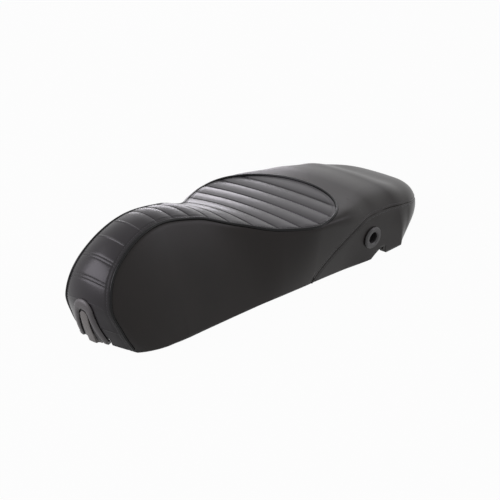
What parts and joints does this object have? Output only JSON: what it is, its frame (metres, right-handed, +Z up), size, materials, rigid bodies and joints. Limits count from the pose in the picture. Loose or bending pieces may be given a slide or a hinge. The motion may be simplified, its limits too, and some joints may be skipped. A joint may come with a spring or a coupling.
{
  "type": "scooter seat",
  "caption": "Long padded dual seat for a motor scooter, with a pleated rider's panel, a smooth pillion, a folding bag hook at the nose, side handle sockets and a hinged plastic pan.",
  "frame": {"origin": "middle of the seat's footprint, on the plane where the four rubber buffers rest", "axes": "+Y to the tail, -Y to the nose, +X to the rider's left, +Z up"},
  "size_m": [0.259, 0.7115, 0.1803],
  "materials": {
    "pan_plastic": "moulded, matt",
    "foam": "open-cell cushion foam, stored as fabric",
    "cover_vinyl": "fine-grained vinyl, satin",
    "insert_vinyl": "stitched and pleated vinyl, satin",
    "piping_vinyl": "smooth vinyl, semi-gloss",
    "hook_plastic": "moulded, satin",
    "pin_steel": "drawn, plain",
    "zinc_steel": "zinc plated",
    "bracket_paint": "black, semi-matt",
    "staple_wire": "galvanised wire",
    "bezel_plastic": "moulded, satin",
    "sleeve_plastic": "moulded, matt",
    "buffer_rubber": "moulded rubber, matt"
  },
  "bodies": {
    "seat": {"seat_pan": "pan_plastic", "foam_cushion": "foam", "main_cover": "cover_vinyl", "tail_panel": "cover_vinyl", "ribbed_insert": "insert_vinyl", "insert_piping": "piping_vinyl", "hook_pivot_pin": "pin_steel", "hook_base": "hook_plastic", "hook_base_screws": "zinc_steel", "hinge_bracket": "bracket_paint", "hinge_screws": "zinc_steel", "hinge_washers": "zinc_steel", "latch_striker": "zinc_steel", "striker_plate": "bracket_paint", "striker_screws": "zinc_steel", "striker_washers": "zinc_steel", "cover_staples": "staple_wire", "handle_bezel_left": "bezel_plastic", "handle_bezel_right": "bezel_plastic", "handle_sleeve_left": "sleeve_plastic", "handle_sleeve_right": "sleeve_plastic", "buffer_front_left": "buffer_rubber", "buffer_front_right": "buffer_rubber", "buffer_rear_left": "buffer_rubber", "buffer_rear_right": "buffer_rubber"},
    "bag_hook": {"bag_hook": "hook_plastic"}
  },
  "joints": [
    {"name": "hook_fold", "type": "hinge", "parent": "seat", "child": "bag_hook", "pos_m": [0, -0.3365, 0.0225], "axis": [1, 0, 0], "range_deg": [0, 70]}
  ]
}
